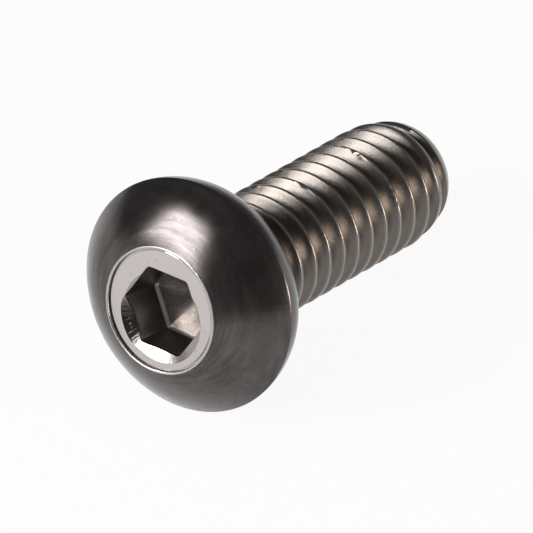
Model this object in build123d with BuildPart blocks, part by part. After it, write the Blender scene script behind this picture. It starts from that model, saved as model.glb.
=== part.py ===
"""Button head socket screw, M4 x 10, lying on the floor as it comes to rest.

Millimetres. The screw is built upright on its own axis: the bearing face
under the head is at Z = 0, the head above it and the threaded shank below.
It is then laid down with the tip towards +X.
"""

import math
import os

from build123d import *

# Thread, M4 x 0.7, right-hand, running out in the fillet under the head
PITCH = 0.7
CREST_RADIUS = 1.93
THREAD_DEPTH = 0.6134 * PITCH
ROOT_RADIUS = CREST_RADIUS - THREAD_DEPTH
CREST_WIDTH = PITCH / 8
FLANK_ANGLE = 30.0
RIDGE_EMBED = 0.06
TURNS_PER_SWEEP = 1
TOP_CREST_DROP = 0.68
NECK_FILLET = 0.55

# Shank and its rounded point
SHANK_LENGTH = 10.2
POINT_LENGTH = 1.45
POINT_SHOULDER_RADIUS = 1.79
POINT_NOSE_LENGTH = 0.65
POINT_END_RADIUS = 1.45
CORE_CHAMFER = 0.25

# Head
HEAD_RADIUS = 3.64
HEAD_HEIGHT = 2.2
RIM_HEIGHT = 0.7
RIM_MID_RADIUS = 3.55
BEARING_RADIUS = 3.33
DOME_SAGITTA = 0.3

# Raised lip around the flat on top of the dome
LIP_OUTER_RADIUS = 2.0
LIP_CREST_RADIUS = 1.915
LIP_CREST_WIDTH = 0.06
LIP_INNER_RADIUS = 1.83
LIP_RISE = 0.09

# Hexagon socket
HEX_ACROSS_FLATS = 2.5
SOCKET_DEPTH = 1.42
NOSE_CHAMFER = 0.12
NOSE_CONE_DEPTH = 0.22
COUNTERSINK_RADIUS = 1.53
COUNTERSINK_SLOPE = 16.0

FLAT_Z = HEAD_HEIGHT - LIP_RISE
THREAD_TOP_Z = RIM_HEIGHT / 3


def dome_mid_point():
    """Point on the dome half way from the rim to the lip."""
    run = HEAD_RADIUS - LIP_OUTER_RADIUS
    rise = FLAT_Z - RIM_HEIGHT
    chord = math.hypot(run, rise)
    r = (HEAD_RADIUS + LIP_OUTER_RADIUS) / 2 + DOME_SAGITTA * rise / chord
    z = (FLAT_Z + RIM_HEIGHT) / 2 + DOME_SAGITTA * run / chord
    return (r, z)


# The hexagonal punch that forms the socket: chamfered nose with a blunt cone
with BuildPart() as punch:
    with BuildSketch(Plane.XY.offset(HEAD_HEIGHT)):
        RegularPolygon(radius=HEX_ACROSS_FLATS / 2, side_count=6, major_radius=False, rotation=30)
    extrude(amount=-(LIP_RISE + SOCKET_DEPTH))
    nose = punch.faces().sort_by(Axis.Z)[0]
    chamfer(nose.edges(), length=NOSE_CHAMFER)
    nose_radius = HEX_ACROSS_FLATS / 2 - NOSE_CHAMFER
    with Locations((0, 0, FLAT_Z - SOCKET_DEPTH - NOSE_CONE_DEPTH / 2)):
        Cone(bottom_radius=0.02, top_radius=nose_radius, height=NOSE_CONE_DEPTH)

# One turn of the thread ridge, its foot sunk a little into the core
with BuildPart() as turns:
    with BuildLine() as path:
        Helix(pitch=PITCH, height=TURNS_PER_SWEEP * PITCH, radius=ROOT_RADIUS)
    crest_half = CREST_WIDTH / 2
    foot_radius = ROOT_RADIUS - RIDGE_EMBED
    foot_half = crest_half + (CREST_RADIUS - foot_radius) * math.tan(math.radians(FLANK_ANGLE))
    with BuildSketch(Plane.XZ):
        with BuildLine():
            Polyline(
                (foot_radius, -foot_half),
                (CREST_RADIUS, -crest_half),
                (CREST_RADIUS, crest_half),
                (foot_radius, foot_half),
                close=True,
            )
        make_face()
    sweep(path=path, is_frenet=True)

# The whole ridge, trimmed to the rounded point
with BuildPart() as ridge:
    start_z = -(TOP_CREST_DROP + math.ceil(SHANK_LENGTH / PITCH) * PITCH)
    sweep_height = TURNS_PER_SWEEP * PITCH
    sweep_count = math.ceil((THREAD_TOP_Z - start_z) / sweep_height)
    with Locations(*[(0, 0, start_z + k * sweep_height) for k in range(sweep_count)]):
        add(turns.part)
    with BuildSketch(Plane.XZ):
        with BuildLine():
            Polyline(
                (0, -SHANK_LENGTH),
                (POINT_END_RADIUS, -SHANK_LENGTH),
                (POINT_SHOULDER_RADIUS, POINT_NOSE_LENGTH - SHANK_LENGTH),
                (CREST_RADIUS, POINT_LENGTH - SHANK_LENGTH),
                (HEAD_RADIUS, POINT_LENGTH - SHANK_LENGTH),
                (HEAD_RADIUS, THREAD_TOP_Z),
                (0, THREAD_TOP_Z),
                close=True,
            )
        make_face()
    revolve(axis=Axis.Z, mode=Mode.INTERSECT)

with BuildPart() as screw:
    # Head and thread core, turned in one piece
    with BuildSketch(Plane.XZ):
        with BuildLine():
            Polyline(
                (0, FLAT_Z),
                (0, -SHANK_LENGTH),
                (ROOT_RADIUS - CORE_CHAMFER, -SHANK_LENGTH),
                (ROOT_RADIUS, CORE_CHAMFER - SHANK_LENGTH),
                (ROOT_RADIUS, -NECK_FILLET),
            )
            RadiusArc((ROOT_RADIUS, -NECK_FILLET), (ROOT_RADIUS + NECK_FILLET, 0), NECK_FILLET)
            Line((ROOT_RADIUS + NECK_FILLET, 0), (BEARING_RADIUS, 0))
            ThreePointArc((BEARING_RADIUS, 0), (RIM_MID_RADIUS, RIM_HEIGHT / 2), (HEAD_RADIUS, RIM_HEIGHT))
            ThreePointArc((HEAD_RADIUS, RIM_HEIGHT), dome_mid_point(), (LIP_OUTER_RADIUS, FLAT_Z))
            Polyline(
                (LIP_OUTER_RADIUS, FLAT_Z),
                (LIP_CREST_RADIUS + LIP_CREST_WIDTH / 2, HEAD_HEIGHT),
                (LIP_CREST_RADIUS - LIP_CREST_WIDTH / 2, HEAD_HEIGHT),
                (LIP_INNER_RADIUS, FLAT_Z),
                (0, FLAT_Z),
            )
        make_face()
    revolve(axis=Axis.Z)
    add(punch.part, mode=Mode.SUBTRACT)
    # Shallow countersink around the mouth of the socket
    countersink_depth = COUNTERSINK_RADIUS * math.tan(math.radians(COUNTERSINK_SLOPE))
    with Locations((0, 0, FLAT_Z - countersink_depth / 2)):
        Cone(bottom_radius=0.001, top_radius=COUNTERSINK_RADIUS, height=countersink_depth, mode=Mode.SUBTRACT)
    add(ridge.part)

# Laid down: the rim of the head and the last crest of the thread touch the floor
contact_span = SHANK_LENGTH - POINT_LENGTH + RIM_HEIGHT
rest_tilt = math.degrees(math.atan2(HEAD_RADIUS - CREST_RADIUS, contact_span))
for _ in range(3):
    slope = math.radians(rest_tilt)
    rim_low = RIM_HEIGHT * math.sin(slope) - HEAD_RADIUS * math.cos(slope)
    thread_low = ridge.part.rotate(Axis.Y, rest_tilt - 90).bounding_box().min.Z
    rest_tilt += math.degrees((thread_low - rim_low) / contact_span)
laid = screw.part.rotate(Axis.Y, rest_tilt - 90)
box = laid.bounding_box()
laid = Pos(-box.center().X, -box.center().Y, -box.min.Z) * laid
laid.label = "button_head_screw"

os.makedirs("parts", exist_ok=True)
export_step(laid, "parts/button_head_screw.step")
print("solids", len(laid.solids()), "volume", round(laid.volume, 3), "valid", laid.is_valid)
print("box", laid.bounding_box().size, "tilt", round(rest_tilt, 3))
print("rim low", round(rim_low, 4), "thread low", round(thread_low, 4))
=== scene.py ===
"""Button head socket screw: render mesh, finishes, studio and camera."""

import math

import bpy
import numpy as np
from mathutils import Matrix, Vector


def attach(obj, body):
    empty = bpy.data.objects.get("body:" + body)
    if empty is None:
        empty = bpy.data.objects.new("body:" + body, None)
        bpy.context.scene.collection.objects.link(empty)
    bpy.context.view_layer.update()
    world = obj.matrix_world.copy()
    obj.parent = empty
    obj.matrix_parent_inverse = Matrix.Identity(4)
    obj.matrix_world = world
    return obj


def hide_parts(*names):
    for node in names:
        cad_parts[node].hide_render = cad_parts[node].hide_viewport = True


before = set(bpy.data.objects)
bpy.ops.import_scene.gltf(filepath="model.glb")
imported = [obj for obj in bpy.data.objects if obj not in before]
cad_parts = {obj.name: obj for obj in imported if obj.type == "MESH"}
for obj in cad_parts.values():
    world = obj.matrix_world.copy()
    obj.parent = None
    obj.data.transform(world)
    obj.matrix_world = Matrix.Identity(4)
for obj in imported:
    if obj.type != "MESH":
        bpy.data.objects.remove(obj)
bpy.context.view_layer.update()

MM = 0.001

# Lying pose: tilt of the axis, and where the axis meets the bearing face
REST_TILT = math.radians(10.231)
AXIS_X = 3.8924
AXIS_Z = 3.4610

# Thread, M4 x 0.7
PITCH = 0.7
CREST_R = 1.93
ROOT_R = 1.50
CREST_HALF = 0.044
CREST_PHASE = 0.68
SHANK_LENGTH = 10.2

# Head, cold formed a little askew on the shank
HEAD_R = 3.585
RIM_Z = 0.81
DOME_SAGITTA = 0.15
CROWN_R = 1.93
CROWN_Z = 2.13
BEARING_R = 3.30
FILLET = 0.55
HEAD_SKEW = (2.24, -2.14)

# Lip, recessed face and socket, skewed again by the punch
FACE_SKEW = (4.27, 0.65)
FACE_CENTRE = (-0.031, 0.064)
FACE_Z = 2.09
LIP_OUTER_R = 1.945
LIP_CREST_R = 1.905
FACE_R = 1.80
FACE_DROP = 0.045
HEX_FLATS = 2.44
HEX_CENTRE = (-0.035, -0.080)
HEX_TURN = math.radians(2)
SOCKET_DEPTH = 1.40
FOOT_INSET = 0.130
FOOT_CHAMFER = 0.094
CONE_DEPTH = 0.62
SINK_R = 1.385
SINK_CENTRE = (-0.215, -0.085)
SINK_SLOPE = math.tan(math.radians(19))
TORN_SLOPE = 0.16
TORN_REACH = 0.10
TORN_DEG = 124
TORN_HALF_DEG = 31
CUT_STEP = 0.002

TURNS = 17
BRUISES = 70

# Camera: direction in degrees, distance in m, the rest in mm
VIEW_AZIMUTH = -53.283
VIEW_ELEVATION = 36.945
VIEW_DISTANCE = 0.6
VIEW_WIDTH = 15.611
AIM_RIGHT = -0.517
AIM_UP = 1.465

ROUND = 360
DOME_STEPS = 72
angles = np.arange(ROUND) * 2 * math.pi / ROUND
random = np.random.default_rng(11)
# Pale colour painted on as light: painted highlights and surfaces painted as if lit
PAINTED_LIGHT_COLOUR = (0.50, 0.47, 0.44)
SPECK = (0.3, 0.28, 0.27)
SHOWN_SHARE = 0.93


def rotation(skew):
    """Turns the local axis a little towards local X and Y, in degrees."""
    b, a = math.radians(skew[0]), math.radians(-skew[1])
    about_x = np.array([[1, 0, 0], [0, math.cos(a), -math.sin(a)], [0, math.sin(a), math.cos(a)]])
    about_y = np.array([[math.cos(b), 0, math.sin(b)], [0, 1, 0], [-math.sin(b), 0, math.cos(b)]])
    return about_x @ about_y


def lay_down(points):
    """Turns upright screw points in mm into the lying pose in metres."""
    c, s = math.cos(REST_TILT), math.sin(REST_TILT)
    x, y, z = points[:, 0], points[:, 1], points[:, 2]
    placed = np.stack([x * s - z * c - AXIS_X, y, x * c + z * s + AXIS_Z], axis=1)
    placed[:, 2] = np.maximum(placed[:, 2], 0)
    return placed * MM


def ring(r, z, centre=(0, 0)):
    """One ring of points; radius and height may vary round it."""
    r = np.broadcast_to(np.asarray(r, float), angles.shape)
    z = np.broadcast_to(np.asarray(z, float), angles.shape)
    return np.stack([centre[0] + r * np.cos(angles), centre[1] + r * np.sin(angles), z], axis=1)


def ring_faces(rows, columns):
    """Quads between stacked rings."""
    faces = []
    for j in range(rows - 1):
        for i in range(columns):
            k = (i + 1) % columns
            faces.append((j * columns + i, j * columns + k, (j + 1) * columns + k, (j + 1) * columns + i))
    return faces


def add_piece(name, points, faces, material, sharp=35, marks=None):
    """A smooth mesh with sharp edges kept, riding on the screw."""
    mesh = bpy.data.meshes.new(name)
    mesh.from_pydata(lay_down(points).tolist(), [], faces)
    mesh.update()
    mesh.shade_smooth()
    mesh.set_sharp_from_angle(angle=math.radians(sharp))
    for mark, values in (marks or {}).items():
        values = np.asarray(values, float)
        kind = "FLOAT_VECTOR" if values.ndim == 2 else "FLOAT"
        layer = mesh.attributes.new(mark, kind, "POINT")
        layer.data.foreach_set("vector" if values.ndim == 2 else "value", values.ravel())
    mesh.materials.append(material)
    piece = bpy.data.objects.new(name, mesh)
    bpy.context.scene.collection.objects.link(piece)
    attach(piece, "root")
    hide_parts("button_head_screw")
    return piece


def arc_through(p1, p2, p3, count):
    """Points on the circle arc through three (r, z) points."""
    (x1, y1), (x2, y2), (x3, y3) = p1, p2, p3
    a = np.array([[x2 - x1, y2 - y1], [x3 - x1, y3 - y1]])
    b = np.array([(x2**2 - x1**2 + y2**2 - y1**2) / 2, (x3**2 - x1**2 + y3**2 - y1**2) / 2])
    cx, cy = np.linalg.solve(a, b)
    radius = math.hypot(x1 - cx, y1 - cy)
    t = np.linspace(math.atan2(y1 - cy, x1 - cx), math.atan2(y3 - cy, x3 - cx), count)
    return [(cx + radius * math.cos(k), cy + radius * math.sin(k)) for k in t]


def dome_profile():
    """From the fillet under the head round the rim and up the dome."""
    out = []
    for t in np.linspace(0, math.pi / 2, 8):
        out.append((ROOT_R + FILLET * (1 - math.cos(t)), -FILLET * (1 - math.sin(t))))
    out += [(2.6, 0.0), (BEARING_R - 0.02, 0.0)]
    out += arc_through((BEARING_R, 0.006), (HEAD_R - 0.08, 0.42), (HEAD_R, RIM_Z - 0.02), 16)
    out.append((HEAD_R + 0.002, RIM_Z - 0.008))
    run, rise = HEAD_R - CROWN_R, CROWN_Z - RIM_Z
    chord = math.hypot(run, rise)
    mid_r = (HEAD_R + CROWN_R) / 2 + DOME_SAGITTA * rise / chord
    mid_z = (CROWN_Z + RIM_Z) / 2 + DOME_SAGITTA * run / chord
    out += arc_through((HEAD_R - 0.004, RIM_Z + 0.006), (mid_r, mid_z), (CROWN_R, CROWN_Z), DOME_STEPS)
    return out


def streak_marks(points, around, across):
    """Noise coordinates that run long round the axis and short across it."""
    r = np.hypot(points[:, 0], points[:, 1])
    turn = np.arctan2(points[:, 1], points[:, 0])
    lanes = across * r + across * points[:, 2]
    return np.stack([around * np.cos(turn), around * np.sin(turn), lanes], axis=1)


def build_dome(material):
    profile = dome_profile()
    rings = [ring(r, z) @ rotation(HEAD_SKEW).T for r, z in profile]
    # The dome runs up flush to the lip, which the punch left a little askew
    lip_foot = on_face(ring(LIP_OUTER_R, FACE_Z + 0.01))
    crown = rings[-DOME_STEPS:]
    for k, points in enumerate(crown):
        share = (k / (DOME_STEPS - 1)) ** 2
        points += share * (lip_foot - crown[-1]) if k < DOME_STEPS - 1 else 0
    rings[-1] = lip_foot
    points = np.concatenate(rings)
    marks = {"streak": streak_marks(points, 1.2, 9.0)}
    return add_piece("dome", points, ring_faces(len(profile), ROUND), material, 20, marks)


def on_face(points):
    """Skews points of the lip, face and socket with the punch."""
    pivot = np.array([FACE_CENTRE[0], FACE_CENTRE[1], FACE_Z])
    return (points - np.array([0, 0, FACE_Z])) @ rotation(FACE_SKEW).T + pivot


def build_lip(material):
    wobble = 0.006 * np.sin(3 * angles + 1) + 0.004 * np.sin(7 * angles)
    rough = random.normal(0, 0.0035, ROUND)
    rough = (rough + np.roll(rough, 1) + np.roll(rough, 2)) / 2
    edge = wobble + rough
    # The recess inside the lip is deepest on one side and dies out opposite
    deep = 0.5 + 0.5 * np.cos(angles - math.radians(135))
    rings = [
        ring(LIP_OUTER_R - 0.01, FACE_Z - 0.05),
        ring(LIP_OUTER_R + edge * 0.3, FACE_Z + 0.004),
        ring(LIP_OUTER_R - 0.012 + edge * 0.6, FACE_Z + 0.018 + edge * 0.3),
        ring(LIP_CREST_R + edge * 0.5, FACE_Z + 0.025 + edge * 0.4),
        ring(LIP_CREST_R - 0.022 + edge * 0.5, FACE_Z + 0.020 + edge * 0.4),
        ring(LIP_CREST_R - 0.038 + edge * 0.5, FACE_Z + 0.006),
        ring(LIP_CREST_R - 0.045 + edge * 0.5, FACE_Z - 0.02 - 0.03 * deep),
        ring(LIP_CREST_R - 0.050, FACE_Z - 0.03 - 0.16 * deep),
        ring(FACE_R + 0.010, FACE_Z - 0.03 - 0.16 * deep),
        ring(FACE_R - 0.004, FACE_Z - 0.035 - 0.04 * deep),
    ]
    return add_piece("lip", on_face(np.concatenate(rings)), ring_faces(len(rings), ROUND), material, 50)


def hexagon_radius(flats, soft=0.02):
    """Distance from the axis to the socket's mouth, with its corners eased."""
    a = (angles - HEX_TURN + math.pi / 6) % (math.pi / 3) - math.pi / 6
    side = flats / 2 / np.cos(a)
    cap = flats / math.sqrt(3) - 0.02
    return -soft * np.log(np.exp(-side / soft) + np.exp(-cap / soft))


def sink_radius():
    """Distance from the socket's axis to the edge of the countersink."""
    dx, dy = SINK_CENTRE[0] - HEX_CENTRE[0], SINK_CENTRE[1] - HEX_CENTRE[1]
    along = dx * np.cos(angles) + dy * np.sin(angles)
    across = -dx * np.sin(angles) + dy * np.cos(angles)
    return along + np.sqrt(SINK_R**2 - across**2)


def face_height(r):
    """Height of the recessed face, a shade deeper on one side."""
    return FACE_Z - 0.03 - 0.03 * (0.5 + 0.5 * np.cos(angles - math.radians(135))) * r / FACE_R


def build_face(material, bevel_material):
    """The flat and the countersink; returns the mouth's radius and height."""
    mouth = hexagon_radius(HEX_FLATS)
    torn = np.exp(-(((np.degrees(angles) - TORN_DEG) / TORN_HALF_DEG) ** 6))
    sink = np.maximum(sink_radius() + TORN_REACH * torn, mouth + 0.010)
    outer = FACE_R - np.hypot(*HEX_CENTRE) * np.cos(angles - math.atan2(HEX_CENTRE[1], HEX_CENTRE[0]))
    rows = []
    for t in np.linspace(0, 1, 14):
        r = outer + (sink + 0.004 - outer) * t
        rows.append(ring(r, face_height(r), HEX_CENTRE))
    points = on_face(np.concatenate(rows))
    add_piece("face", points, ring_faces(len(rows), ROUND), material, 50)

    slope = SINK_SLOPE + torn * TORN_SLOPE
    edge_z = face_height(sink) - CUT_STEP
    scores = torn * random.normal(0, 0.006, ROUND)
    rows = []
    for t in np.linspace(0, 1, 12):
        r = sink + (mouth - sink) * t
        burr = math.sin(math.pi * t) * (scores + torn * random.normal(0, 0.004, ROUND))
        rows.append(ring(r, edge_z - (sink - r) * slope + burr, HEX_CENTRE))
    # Painted highlight: the countersink is painted pale, except on the torn facet
    marks = {"painted_light_share": np.tile((1 - torn) * 0.6, len(rows))}
    points = on_face(np.concatenate(rows))
    add_piece("countersink", points, ring_faces(len(rows), ROUND), bevel_material, 50, marks)
    return mouth, edge_z - (sink - mouth) * slope


def build_socket(mouth, mouth_z, material):
    foot_z = FACE_Z - FACE_DROP - SOCKET_DEPTH
    rows = [ring(mouth, mouth_z, HEX_CENTRE), ring(mouth - 0.006, mouth_z - 0.012, HEX_CENTRE)]
    for t in np.linspace(0.08, 1, 10):
        rows.append(ring(mouth - 0.008 - 0.03 * t, mouth_z + (foot_z - mouth_z) * t, HEX_CENTRE))
    rows.append(ring(mouth - 0.046, foot_z - 0.012, HEX_CENTRE))
    rows.append(ring(mouth - 0.115, foot_z - 0.085, HEX_CENTRE))
    floor_z = foot_z - FOOT_CHAMFER
    rows.append(ring(mouth - FOOT_INSET, floor_z, HEX_CENTRE))
    tip_r = HEX_FLATS / 2 - FOOT_INSET
    for t in (0.97, 0.92, 0.86, 0.78, 0.7, 0.6, 0.45, 0.3, 0.15):
        corner = max(0, (t - 0.6) / 0.4) ** 1.5
        r = (tip_r + (mouth - FOOT_INSET - tip_r) * corner) * t
        rows.append(ring(r, floor_z - CONE_DEPTH * (1 - t), HEX_CENTRE))
    points = np.concatenate(rows)
    faces = ring_faces(len(rows), ROUND)
    tip = len(points)
    points = np.vstack([points, [*HEX_CENTRE, floor_z - CONE_DEPTH]])
    last = (len(rows) - 1) * ROUND
    faces += [(last + i, last + (i + 1) % ROUND, tip) for i in range(ROUND)]
    # Painted light: the walls are painted paler as if lit, and the foot chamfer is painted as a bright
    # line
    foot = np.zeros(len(points))
    foot[2 * ROUND:12 * ROUND] = 0.6
    foot[12 * ROUND:14 * ROUND] = 1.0
    drawn = np.stack([points[:, 0] * 9, points[:, 1] * 9, points[:, 2] * 1.0], axis=1)
    marks = {"streak": drawn, "painted_light_share": foot}
    return add_piece("socket", on_face(points), faces, material, 30, marks)


def thread_profile():
    """(offset along the axis, radius, share of painted light) over one pitch."""
    flank = (CREST_R - ROOT_R) * math.tan(math.radians(30))
    foot = CREST_HALF + flank
    # The third value paints a highlight along the crest and a little light down the flank
    half = [
        (0.0, CREST_R - 0.002, 0.0),
        (CREST_HALF * 0.55, CREST_R, 0.15),
        (CREST_HALF * 0.85, CREST_R - 0.004, 0.7),
        (CREST_HALF * 1.15, CREST_R - 0.020, 0.15),
    ]
    for t in (0.2, 0.5, 0.8):
        half.append((CREST_HALF + flank * t, CREST_R - (CREST_R - ROOT_R) * t, 0.2 * max(0, t - 0.3)))
    half += [(foot - 0.028, ROOT_R + 0.046, 0.15), (foot + 0.004, ROOT_R + 0.014, 0.2)]
    # Flanks that face the tip are painted lighter, as if lit
    other = [(PITCH - a, r, max(m, 0.5 if r < CREST_R - 0.05 else 0)) for a, r, m in reversed(half)]
    return half + [(PITCH / 2, ROOT_R, 0.4)] + other


def point_limit(z):
    """Largest radius allowed near the tip, a rolled and rounded point."""
    from_end = z + SHANK_LENGTH
    stops = [0, 0.03, 0.12, 0.3, 0.55, 0.8, 1.1, 1.45, 1.6]
    limits = [1.38, 1.45, 1.53, 1.64, 1.735, 1.80, 1.865, 1.925, 2.2]
    return np.interp(from_end, stops, limits)


def build_shank(material):
    profile = thread_profile()
    offsets, radii, crest = (np.array(v) for v in zip(*profile))
    base = -(CREST_PHASE + 15 * PITCH)
    step = len(profile) - 1
    turn = PITCH * angles / (2 * math.pi)
    rows_z, rows_r, rows_m = [], [], []
    for k in range(TURNS):
        for m in range(step):
            rows_z.append(base + k * PITCH + offsets[m] + turn)
            rows_r.append(np.full(ROUND, radii[m]))
            rows_m.append(np.full(ROUND, crest[m]))
    full_z, r, mark = np.array(rows_z), np.array(rows_r), np.array(rows_m)
    low, high = -SHANK_LENGTH, -0.02
    z = np.clip(full_z, low, high)
    phase = (z - base - turn) % PITCH
    r = np.where(full_z == z, r, np.interp(phase, offsets, radii))
    rows = len(z)
    # Bruised crests
    path = (full_z - base) / PITCH * ROUND
    dents = np.zeros_like(r)
    for centre in random.uniform(0, 15.5 * ROUND, BRUISES):
        size = random.uniform(1.5, 5)
        dents += random.uniform(0.006, 0.018) * np.exp(-(((path - centre) / size) ** 2))
    r = r - np.where(r > CREST_R - 0.03, dents, 0)
    r = np.minimum(r, point_limit(z))
    points = np.stack([r * np.cos(angles), r * np.sin(angles), z], axis=2).reshape(-1, 3)
    faces = []
    flat_z = z.ravel()
    for j in range(rows - 1):
        for i in range(ROUND):
            if i < ROUND - 1:
                quad = (j * ROUND + i, j * ROUND + i + 1, (j + 1) * ROUND + i + 1, (j + 1) * ROUND + i)
            elif j + 1 + step < rows:
                quad = (j * ROUND + i, (j + step) * ROUND, (j + 1 + step) * ROUND, (j + 1) * ROUND + i)
            else:
                continue
            heights = flat_z[list(quad)]
            if heights.max() > low + 1e-9 and heights.min() < high - 1e-9:
                faces.append(quad)
    phase = (low - base - turn) % PITCH
    edge = np.minimum(np.interp(phase, offsets, radii), point_limit(np.full(ROUND, low)))
    start = len(points)
    cap = [ring(edge, low), ring(np.minimum(edge, 1.3) - 0.03, low), ring(0.7, low + 0.01)]
    points = np.vstack([points, *cap, [[0, 0, low + 0.02]]])
    for a, b, c, d in ring_faces(3, ROUND):
        faces.append((start + b, start + a, start + d, start + c))
    inner, centre = start + 2 * ROUND, start + 3 * ROUND
    faces += [(inner + (i + 1) % ROUND, inner + i, centre) for i in range(ROUND)]
    # Painted light along the crests, flanks and roots
    marks = {"painted_light_share": np.concatenate([mark.ravel(), np.zeros(len(points) - mark.size)])}
    return add_piece("threaded_shank", points, faces, material, 60, marks)


def grain_group():
    """Fine mottled height and a speck mask, shared by all finishes."""
    group = bpy.data.node_groups.new("steel_grain", "ShaderNodeTree")
    for name, kind in (("Fine Scale", "NodeSocketFloat"), ("Speck Scale", "NodeSocketFloat")):
        group.interface.new_socket(name=name, in_out="INPUT", socket_type=kind)
    for name in ("Height", "Cloud", "Specks"):
        group.interface.new_socket(name=name, in_out="OUTPUT", socket_type="NodeSocketFloat")
    nodes, links = group.nodes, group.links
    enter, leave = nodes.new("NodeGroupInput"), nodes.new("NodeGroupOutput")
    place = nodes.new("ShaderNodeTexCoord")
    fine = nodes.new("ShaderNodeTexNoise")
    fine.inputs["Detail"].default_value = 5
    fine.inputs["Roughness"].default_value = 0.65
    cloud = nodes.new("ShaderNodeTexNoise")
    cloud.inputs["Scale"].default_value = 900
    cloud.inputs["Detail"].default_value = 3
    cells = nodes.new("ShaderNodeTexVoronoi")
    cells.inputs["Randomness"].default_value = 1
    pick = nodes.new("ShaderNodeMapRange")
    pick.inputs["From Min"].default_value = 0.16
    pick.inputs["From Max"].default_value = 0.05
    for node in (fine, cloud, cells):
        links.new(place.outputs["Object"], node.inputs["Vector"])
    links.new(enter.outputs["Fine Scale"], fine.inputs["Scale"])
    links.new(enter.outputs["Speck Scale"], cells.inputs["Scale"])
    links.new(cells.outputs["Distance"], pick.inputs["Value"])
    links.new(fine.outputs["Fac"], leave.inputs["Height"])
    links.new(cloud.outputs["Fac"], leave.inputs["Cloud"])
    links.new(pick.outputs["Result"], leave.inputs["Specks"])
    return group


def streak_group():
    """Long tool streaks that follow the piece's own marks."""
    group = bpy.data.node_groups.new("tool_streaks", "ShaderNodeTree")
    group.interface.new_socket(name="Color", in_out="INPUT", socket_type="NodeSocketColor")
    group.interface.new_socket(name="Amount", in_out="INPUT", socket_type="NodeSocketFloat")
    group.interface.new_socket(name="Color", in_out="OUTPUT", socket_type="NodeSocketColor")
    group.interface.new_socket(name="Height", in_out="OUTPUT", socket_type="NodeSocketFloat")
    nodes, links = group.nodes, group.links
    enter, leave = nodes.new("NodeGroupInput"), nodes.new("NodeGroupOutput")
    marks = nodes.new("ShaderNodeAttribute")
    marks.attribute_name = "streak"
    lines = nodes.new("ShaderNodeTexNoise")
    lines.inputs["Scale"].default_value = 1.5
    lines.inputs["Detail"].default_value = 6
    lines.inputs["Roughness"].default_value = 0.7
    lift = nodes.new("ShaderNodeMapRange")
    lift.inputs["From Min"].default_value = 0.35
    lift.inputs["From Max"].default_value = 0.65
    lift.inputs["To Min"].default_value = 0.6
    lift.inputs["To Max"].default_value = 1.5
    grow = nodes.new("ShaderNodeVectorMath")
    grow.operation = "SCALE"
    blend = nodes.new("ShaderNodeMix")
    blend.data_type = "RGBA"
    links.new(marks.outputs["Vector"], lines.inputs["Vector"])
    links.new(lines.outputs["Fac"], lift.inputs["Value"])
    links.new(enter.outputs["Color"], grow.inputs[0])
    links.new(lift.outputs["Result"], grow.inputs["Scale"])
    links.new(enter.outputs["Amount"], blend.inputs["Factor"])
    links.new(enter.outputs["Color"], blend.inputs["A"])
    links.new(grow.outputs["Vector"], blend.inputs["B"])
    links.new(blend.outputs["Result"], leave.inputs["Color"])
    links.new(lines.outputs["Fac"], leave.inputs["Height"])
    return group


def colour_mix(finish, first, second):
    """A colour mix node with both colours set."""
    mix = finish.node_tree.nodes.new("ShaderNodeMix")
    mix.data_type = "RGBA"
    mix.inputs["A"].default_value = first
    mix.inputs["B"].default_value = second
    return mix


def steel(name, colour, roughness, bump, fine_scale=9000, speck_scale=3500, specks=0.0,
          spread=0.05, streak=0.0, painted_light=False):
    """A metal finish with grain, and if asked with specks, streaks and painted light."""
    finish = bpy.data.materials.new(name)
    finish.use_nodes = True
    nodes, links = finish.node_tree.nodes, finish.node_tree.links
    shader = nodes["Principled BSDF"]
    shader.inputs["Metallic"].default_value = 1.0
    shader.inputs["Roughness"].default_value = roughness
    shader.inputs["Base Color"].default_value = (*colour, 1)
    grain = nodes.new("ShaderNodeGroup")
    grain.node_tree = bpy.data.node_groups.get("steel_grain") or grain_group()
    grain.inputs["Fine Scale"].default_value = fine_scale
    grain.inputs["Speck Scale"].default_value = speck_scale
    dent = nodes.new("ShaderNodeBump")
    dent.inputs["Strength"].default_value = bump
    dent.inputs["Distance"].default_value = 0.00003
    links.new(grain.outputs["Height"], dent.inputs["Height"])
    links.new(dent.outputs["Normal"], shader.inputs["Normal"])
    vary = nodes.new("ShaderNodeMapRange")
    vary.inputs["From Min"].default_value = 0.3
    vary.inputs["From Max"].default_value = 0.7
    vary.inputs["To Min"].default_value = max(0.02, roughness - spread)
    vary.inputs["To Max"].default_value = roughness + spread
    links.new(grain.outputs["Cloud"], vary.inputs["Value"])
    links.new(vary.outputs["Result"], shader.inputs["Roughness"])
    if not specks:
        return finish
    tint = colour_mix(finish, (*colour, 1), (*SPECK, 1))
    share = nodes.new("ShaderNodeMath")
    share.operation = "MULTIPLY"
    share.inputs[1].default_value = specks
    links.new(grain.outputs["Specks"], share.inputs[0])
    links.new(share.outputs[0], tint.inputs["Factor"])
    last = tint.outputs["Result"]
    if streak:
        lines = nodes.new("ShaderNodeGroup")
        lines.node_tree = bpy.data.node_groups.get("tool_streaks") or streak_group()
        lines.inputs["Amount"].default_value = streak
        links.new(last, lines.inputs["Color"])
        last = lines.outputs["Color"]
        second = nodes.new("ShaderNodeBump")
        second.inputs["Strength"].default_value = 0.12 * streak
        second.inputs["Distance"].default_value = 0.00002
        links.new(lines.outputs["Height"], second.inputs["Height"])
        links.new(dent.outputs["Normal"], second.inputs["Normal"])
        links.new(second.outputs["Normal"], shader.inputs["Normal"])
    # Mixes the pale colour in wherever light is painted on
    if painted_light:
        mark = nodes.new("ShaderNodeAttribute")
        mark.attribute_name = "painted_light_share"
        painted_light_mix = colour_mix(finish, (*colour, 1), (*PAINTED_LIGHT_COLOUR, 1))
        links.new(mark.outputs["Fac"], painted_light_mix.inputs["Factor"])
        links.new(last, painted_light_mix.inputs["A"])
        last = painted_light_mix.outputs["Result"]
    links.new(last, shader.inputs["Base Color"])
    return finish


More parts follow.
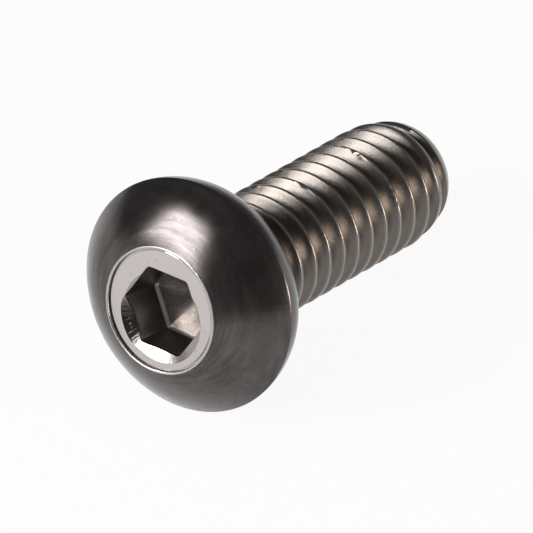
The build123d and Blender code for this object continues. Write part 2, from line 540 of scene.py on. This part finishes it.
def build_screw():
    dome = steel("dark_dome", (0.095, 0.084, 0.083), 0.20, 0.10, 30000, 5200, 0.3, streak=0.7)
    lip = steel("bright_edge", (0.50, 0.48, 0.475), 0.30, 0.12, spread=0.06)
    face = steel("matte_face", (0.47, 0.43, 0.425), 0.50, 0.15, 30000, 2600, 0.5)
    bevel = steel("cut_bevel", (0.075, 0.068, 0.064), 0.24, 0.1, specks=0.2, painted_light=True)
    socket = steel("socket_steel", (0.125, 0.108, 0.098), 0.33, 0.12, specks=0.05, streak=0.6, painted_light=True)
    thread = steel("rolled_thread", (0.135, 0.120, 0.108), 0.26, 0.16, 30000, 3000, 0.2, painted_light=True)
    build_dome(dome)
    build_lip(lip)
    mouth, mouth_z = build_face(face, bevel)
    build_socket(mouth, mouth_z, socket)
    build_shank(thread)


def studio_floor():
    """White floor that keeps a soft shadow of the screw."""
    size = 0.5
    mesh = bpy.data.meshes.new("floor")
    corners = [(-size, -size, 0), (size, -size, 0), (size, size, 0), (-size, size, 0)]
    mesh.from_pydata(corners, [], [(0, 1, 2, 3)])
    floor = bpy.data.objects.new("floor", mesh)
    bpy.context.scene.collection.objects.link(floor)
    paper = bpy.data.materials.new("white_paper")
    paper.use_nodes = True
    nodes, links = paper.node_tree.nodes, paper.node_tree.links
    nodes.clear()
    out = nodes.new("ShaderNodeOutputMaterial")
    mix = nodes.new("ShaderNodeMixShader")
    matte = nodes.new("ShaderNodeBsdfDiffuse")
    matte.inputs["Color"].default_value = (0.9, 0.9, 0.9, 1)
    glow = nodes.new("ShaderNodeEmission")
    path = nodes.new("ShaderNodeLightPath")
    seen = nodes.new("ShaderNodeMath")
    seen.operation = "MAXIMUM"
    through = nodes.new("ShaderNodeMath")
    through.operation = "MAXIMUM"
    share = nodes.new("ShaderNodeMath")
    share.operation = "MULTIPLY"
    share.inputs[1].default_value = SHOWN_SHARE
    links.new(path.outputs["Is Camera Ray"], seen.inputs[0])
    links.new(path.outputs["Is Glossy Ray"], seen.inputs[1])
    links.new(seen.outputs[0], through.inputs[0])
    links.new(path.outputs["Is Transmission Ray"], through.inputs[1])
    links.new(through.outputs[0], share.inputs[0])
    links.new(share.outputs[0], mix.inputs[0])
    links.new(matte.outputs[0], mix.inputs[1])
    links.new(glow.outputs[0], mix.inputs[2])
    links.new(mix.outputs[0], out.inputs[0])
    mesh.materials.append(paper)


def studio_room():
    """Dim room round the lamps."""
    world = bpy.data.worlds.new("room")
    world.use_nodes = True
    bpy.context.scene.world = world
    back = world.node_tree.nodes["Background"]
    back.inputs["Color"].default_value = (1, 1, 1, 1)
    back.inputs["Strength"].default_value = 0.18


def softbox(name, azimuth, elevation, distance, width, height, radiance, colour=(1, 1, 1)):
    """A soft area lamp aimed at the screw; azimuth is counted from +X."""
    lamp = bpy.data.lights.new(name, "AREA")
    lamp.shape = "RECTANGLE"
    lamp.size, lamp.size_y = width, height
    lamp.energy = radiance * math.pi * width * height
    lamp.color = colour
    holder = bpy.data.objects.new(name, lamp)
    bpy.context.scene.collection.objects.link(holder)
    a, e = math.radians(azimuth), math.radians(elevation)
    out = Vector((math.cos(a) * math.cos(e), math.sin(a) * math.cos(e), math.sin(e)))
    holder.location = out * distance + Vector((0, 0, 0.003))
    holder.rotation_euler = (-out).to_track_quat("-Z", "Y").to_euler()
    holder.visible_camera = False


def product_camera():
    """A long lens looking down past the head along the shank."""
    azimuth, elevation = math.radians(VIEW_AZIMUTH), math.radians(VIEW_ELEVATION)
    right = Vector((math.cos(azimuth), math.sin(azimuth), 0))
    level = math.cos(elevation)
    out = Vector((math.sin(azimuth) * level, -math.cos(azimuth) * level, math.sin(elevation)))
    up = out.cross(right)
    lens = bpy.data.cameras.new("camera")
    lens.sensor_width = 36
    lens.lens = lens.sensor_width * VIEW_DISTANCE / (VIEW_WIDTH * MM)
    lens.clip_start, lens.clip_end = 0.1, 2
    camera = bpy.data.objects.new("camera", lens)
    bpy.context.scene.collection.objects.link(camera)
    aim = right * (AIM_RIGHT * MM) + up * (AIM_UP * MM)
    camera.location = aim + out * VIEW_DISTANCE
    camera.rotation_euler = (-out).to_track_quat("-Z", "Y").to_euler()
    bpy.context.scene.camera = camera


build_screw()
studio_floor()
studio_room()
softbox("key_softbox", azimuth=150, elevation=30, distance=0.30, width=0.165, height=0.185, radiance=9.5)
softbox("side_softbox", azimuth=-80, elevation=8.5, distance=0.30, width=0.17, height=0.085,
        radiance=18.0, colour=(1, 0.90, 0.78))
product_camera()
bpy.context.scene.view_settings.view_transform = "Standard"
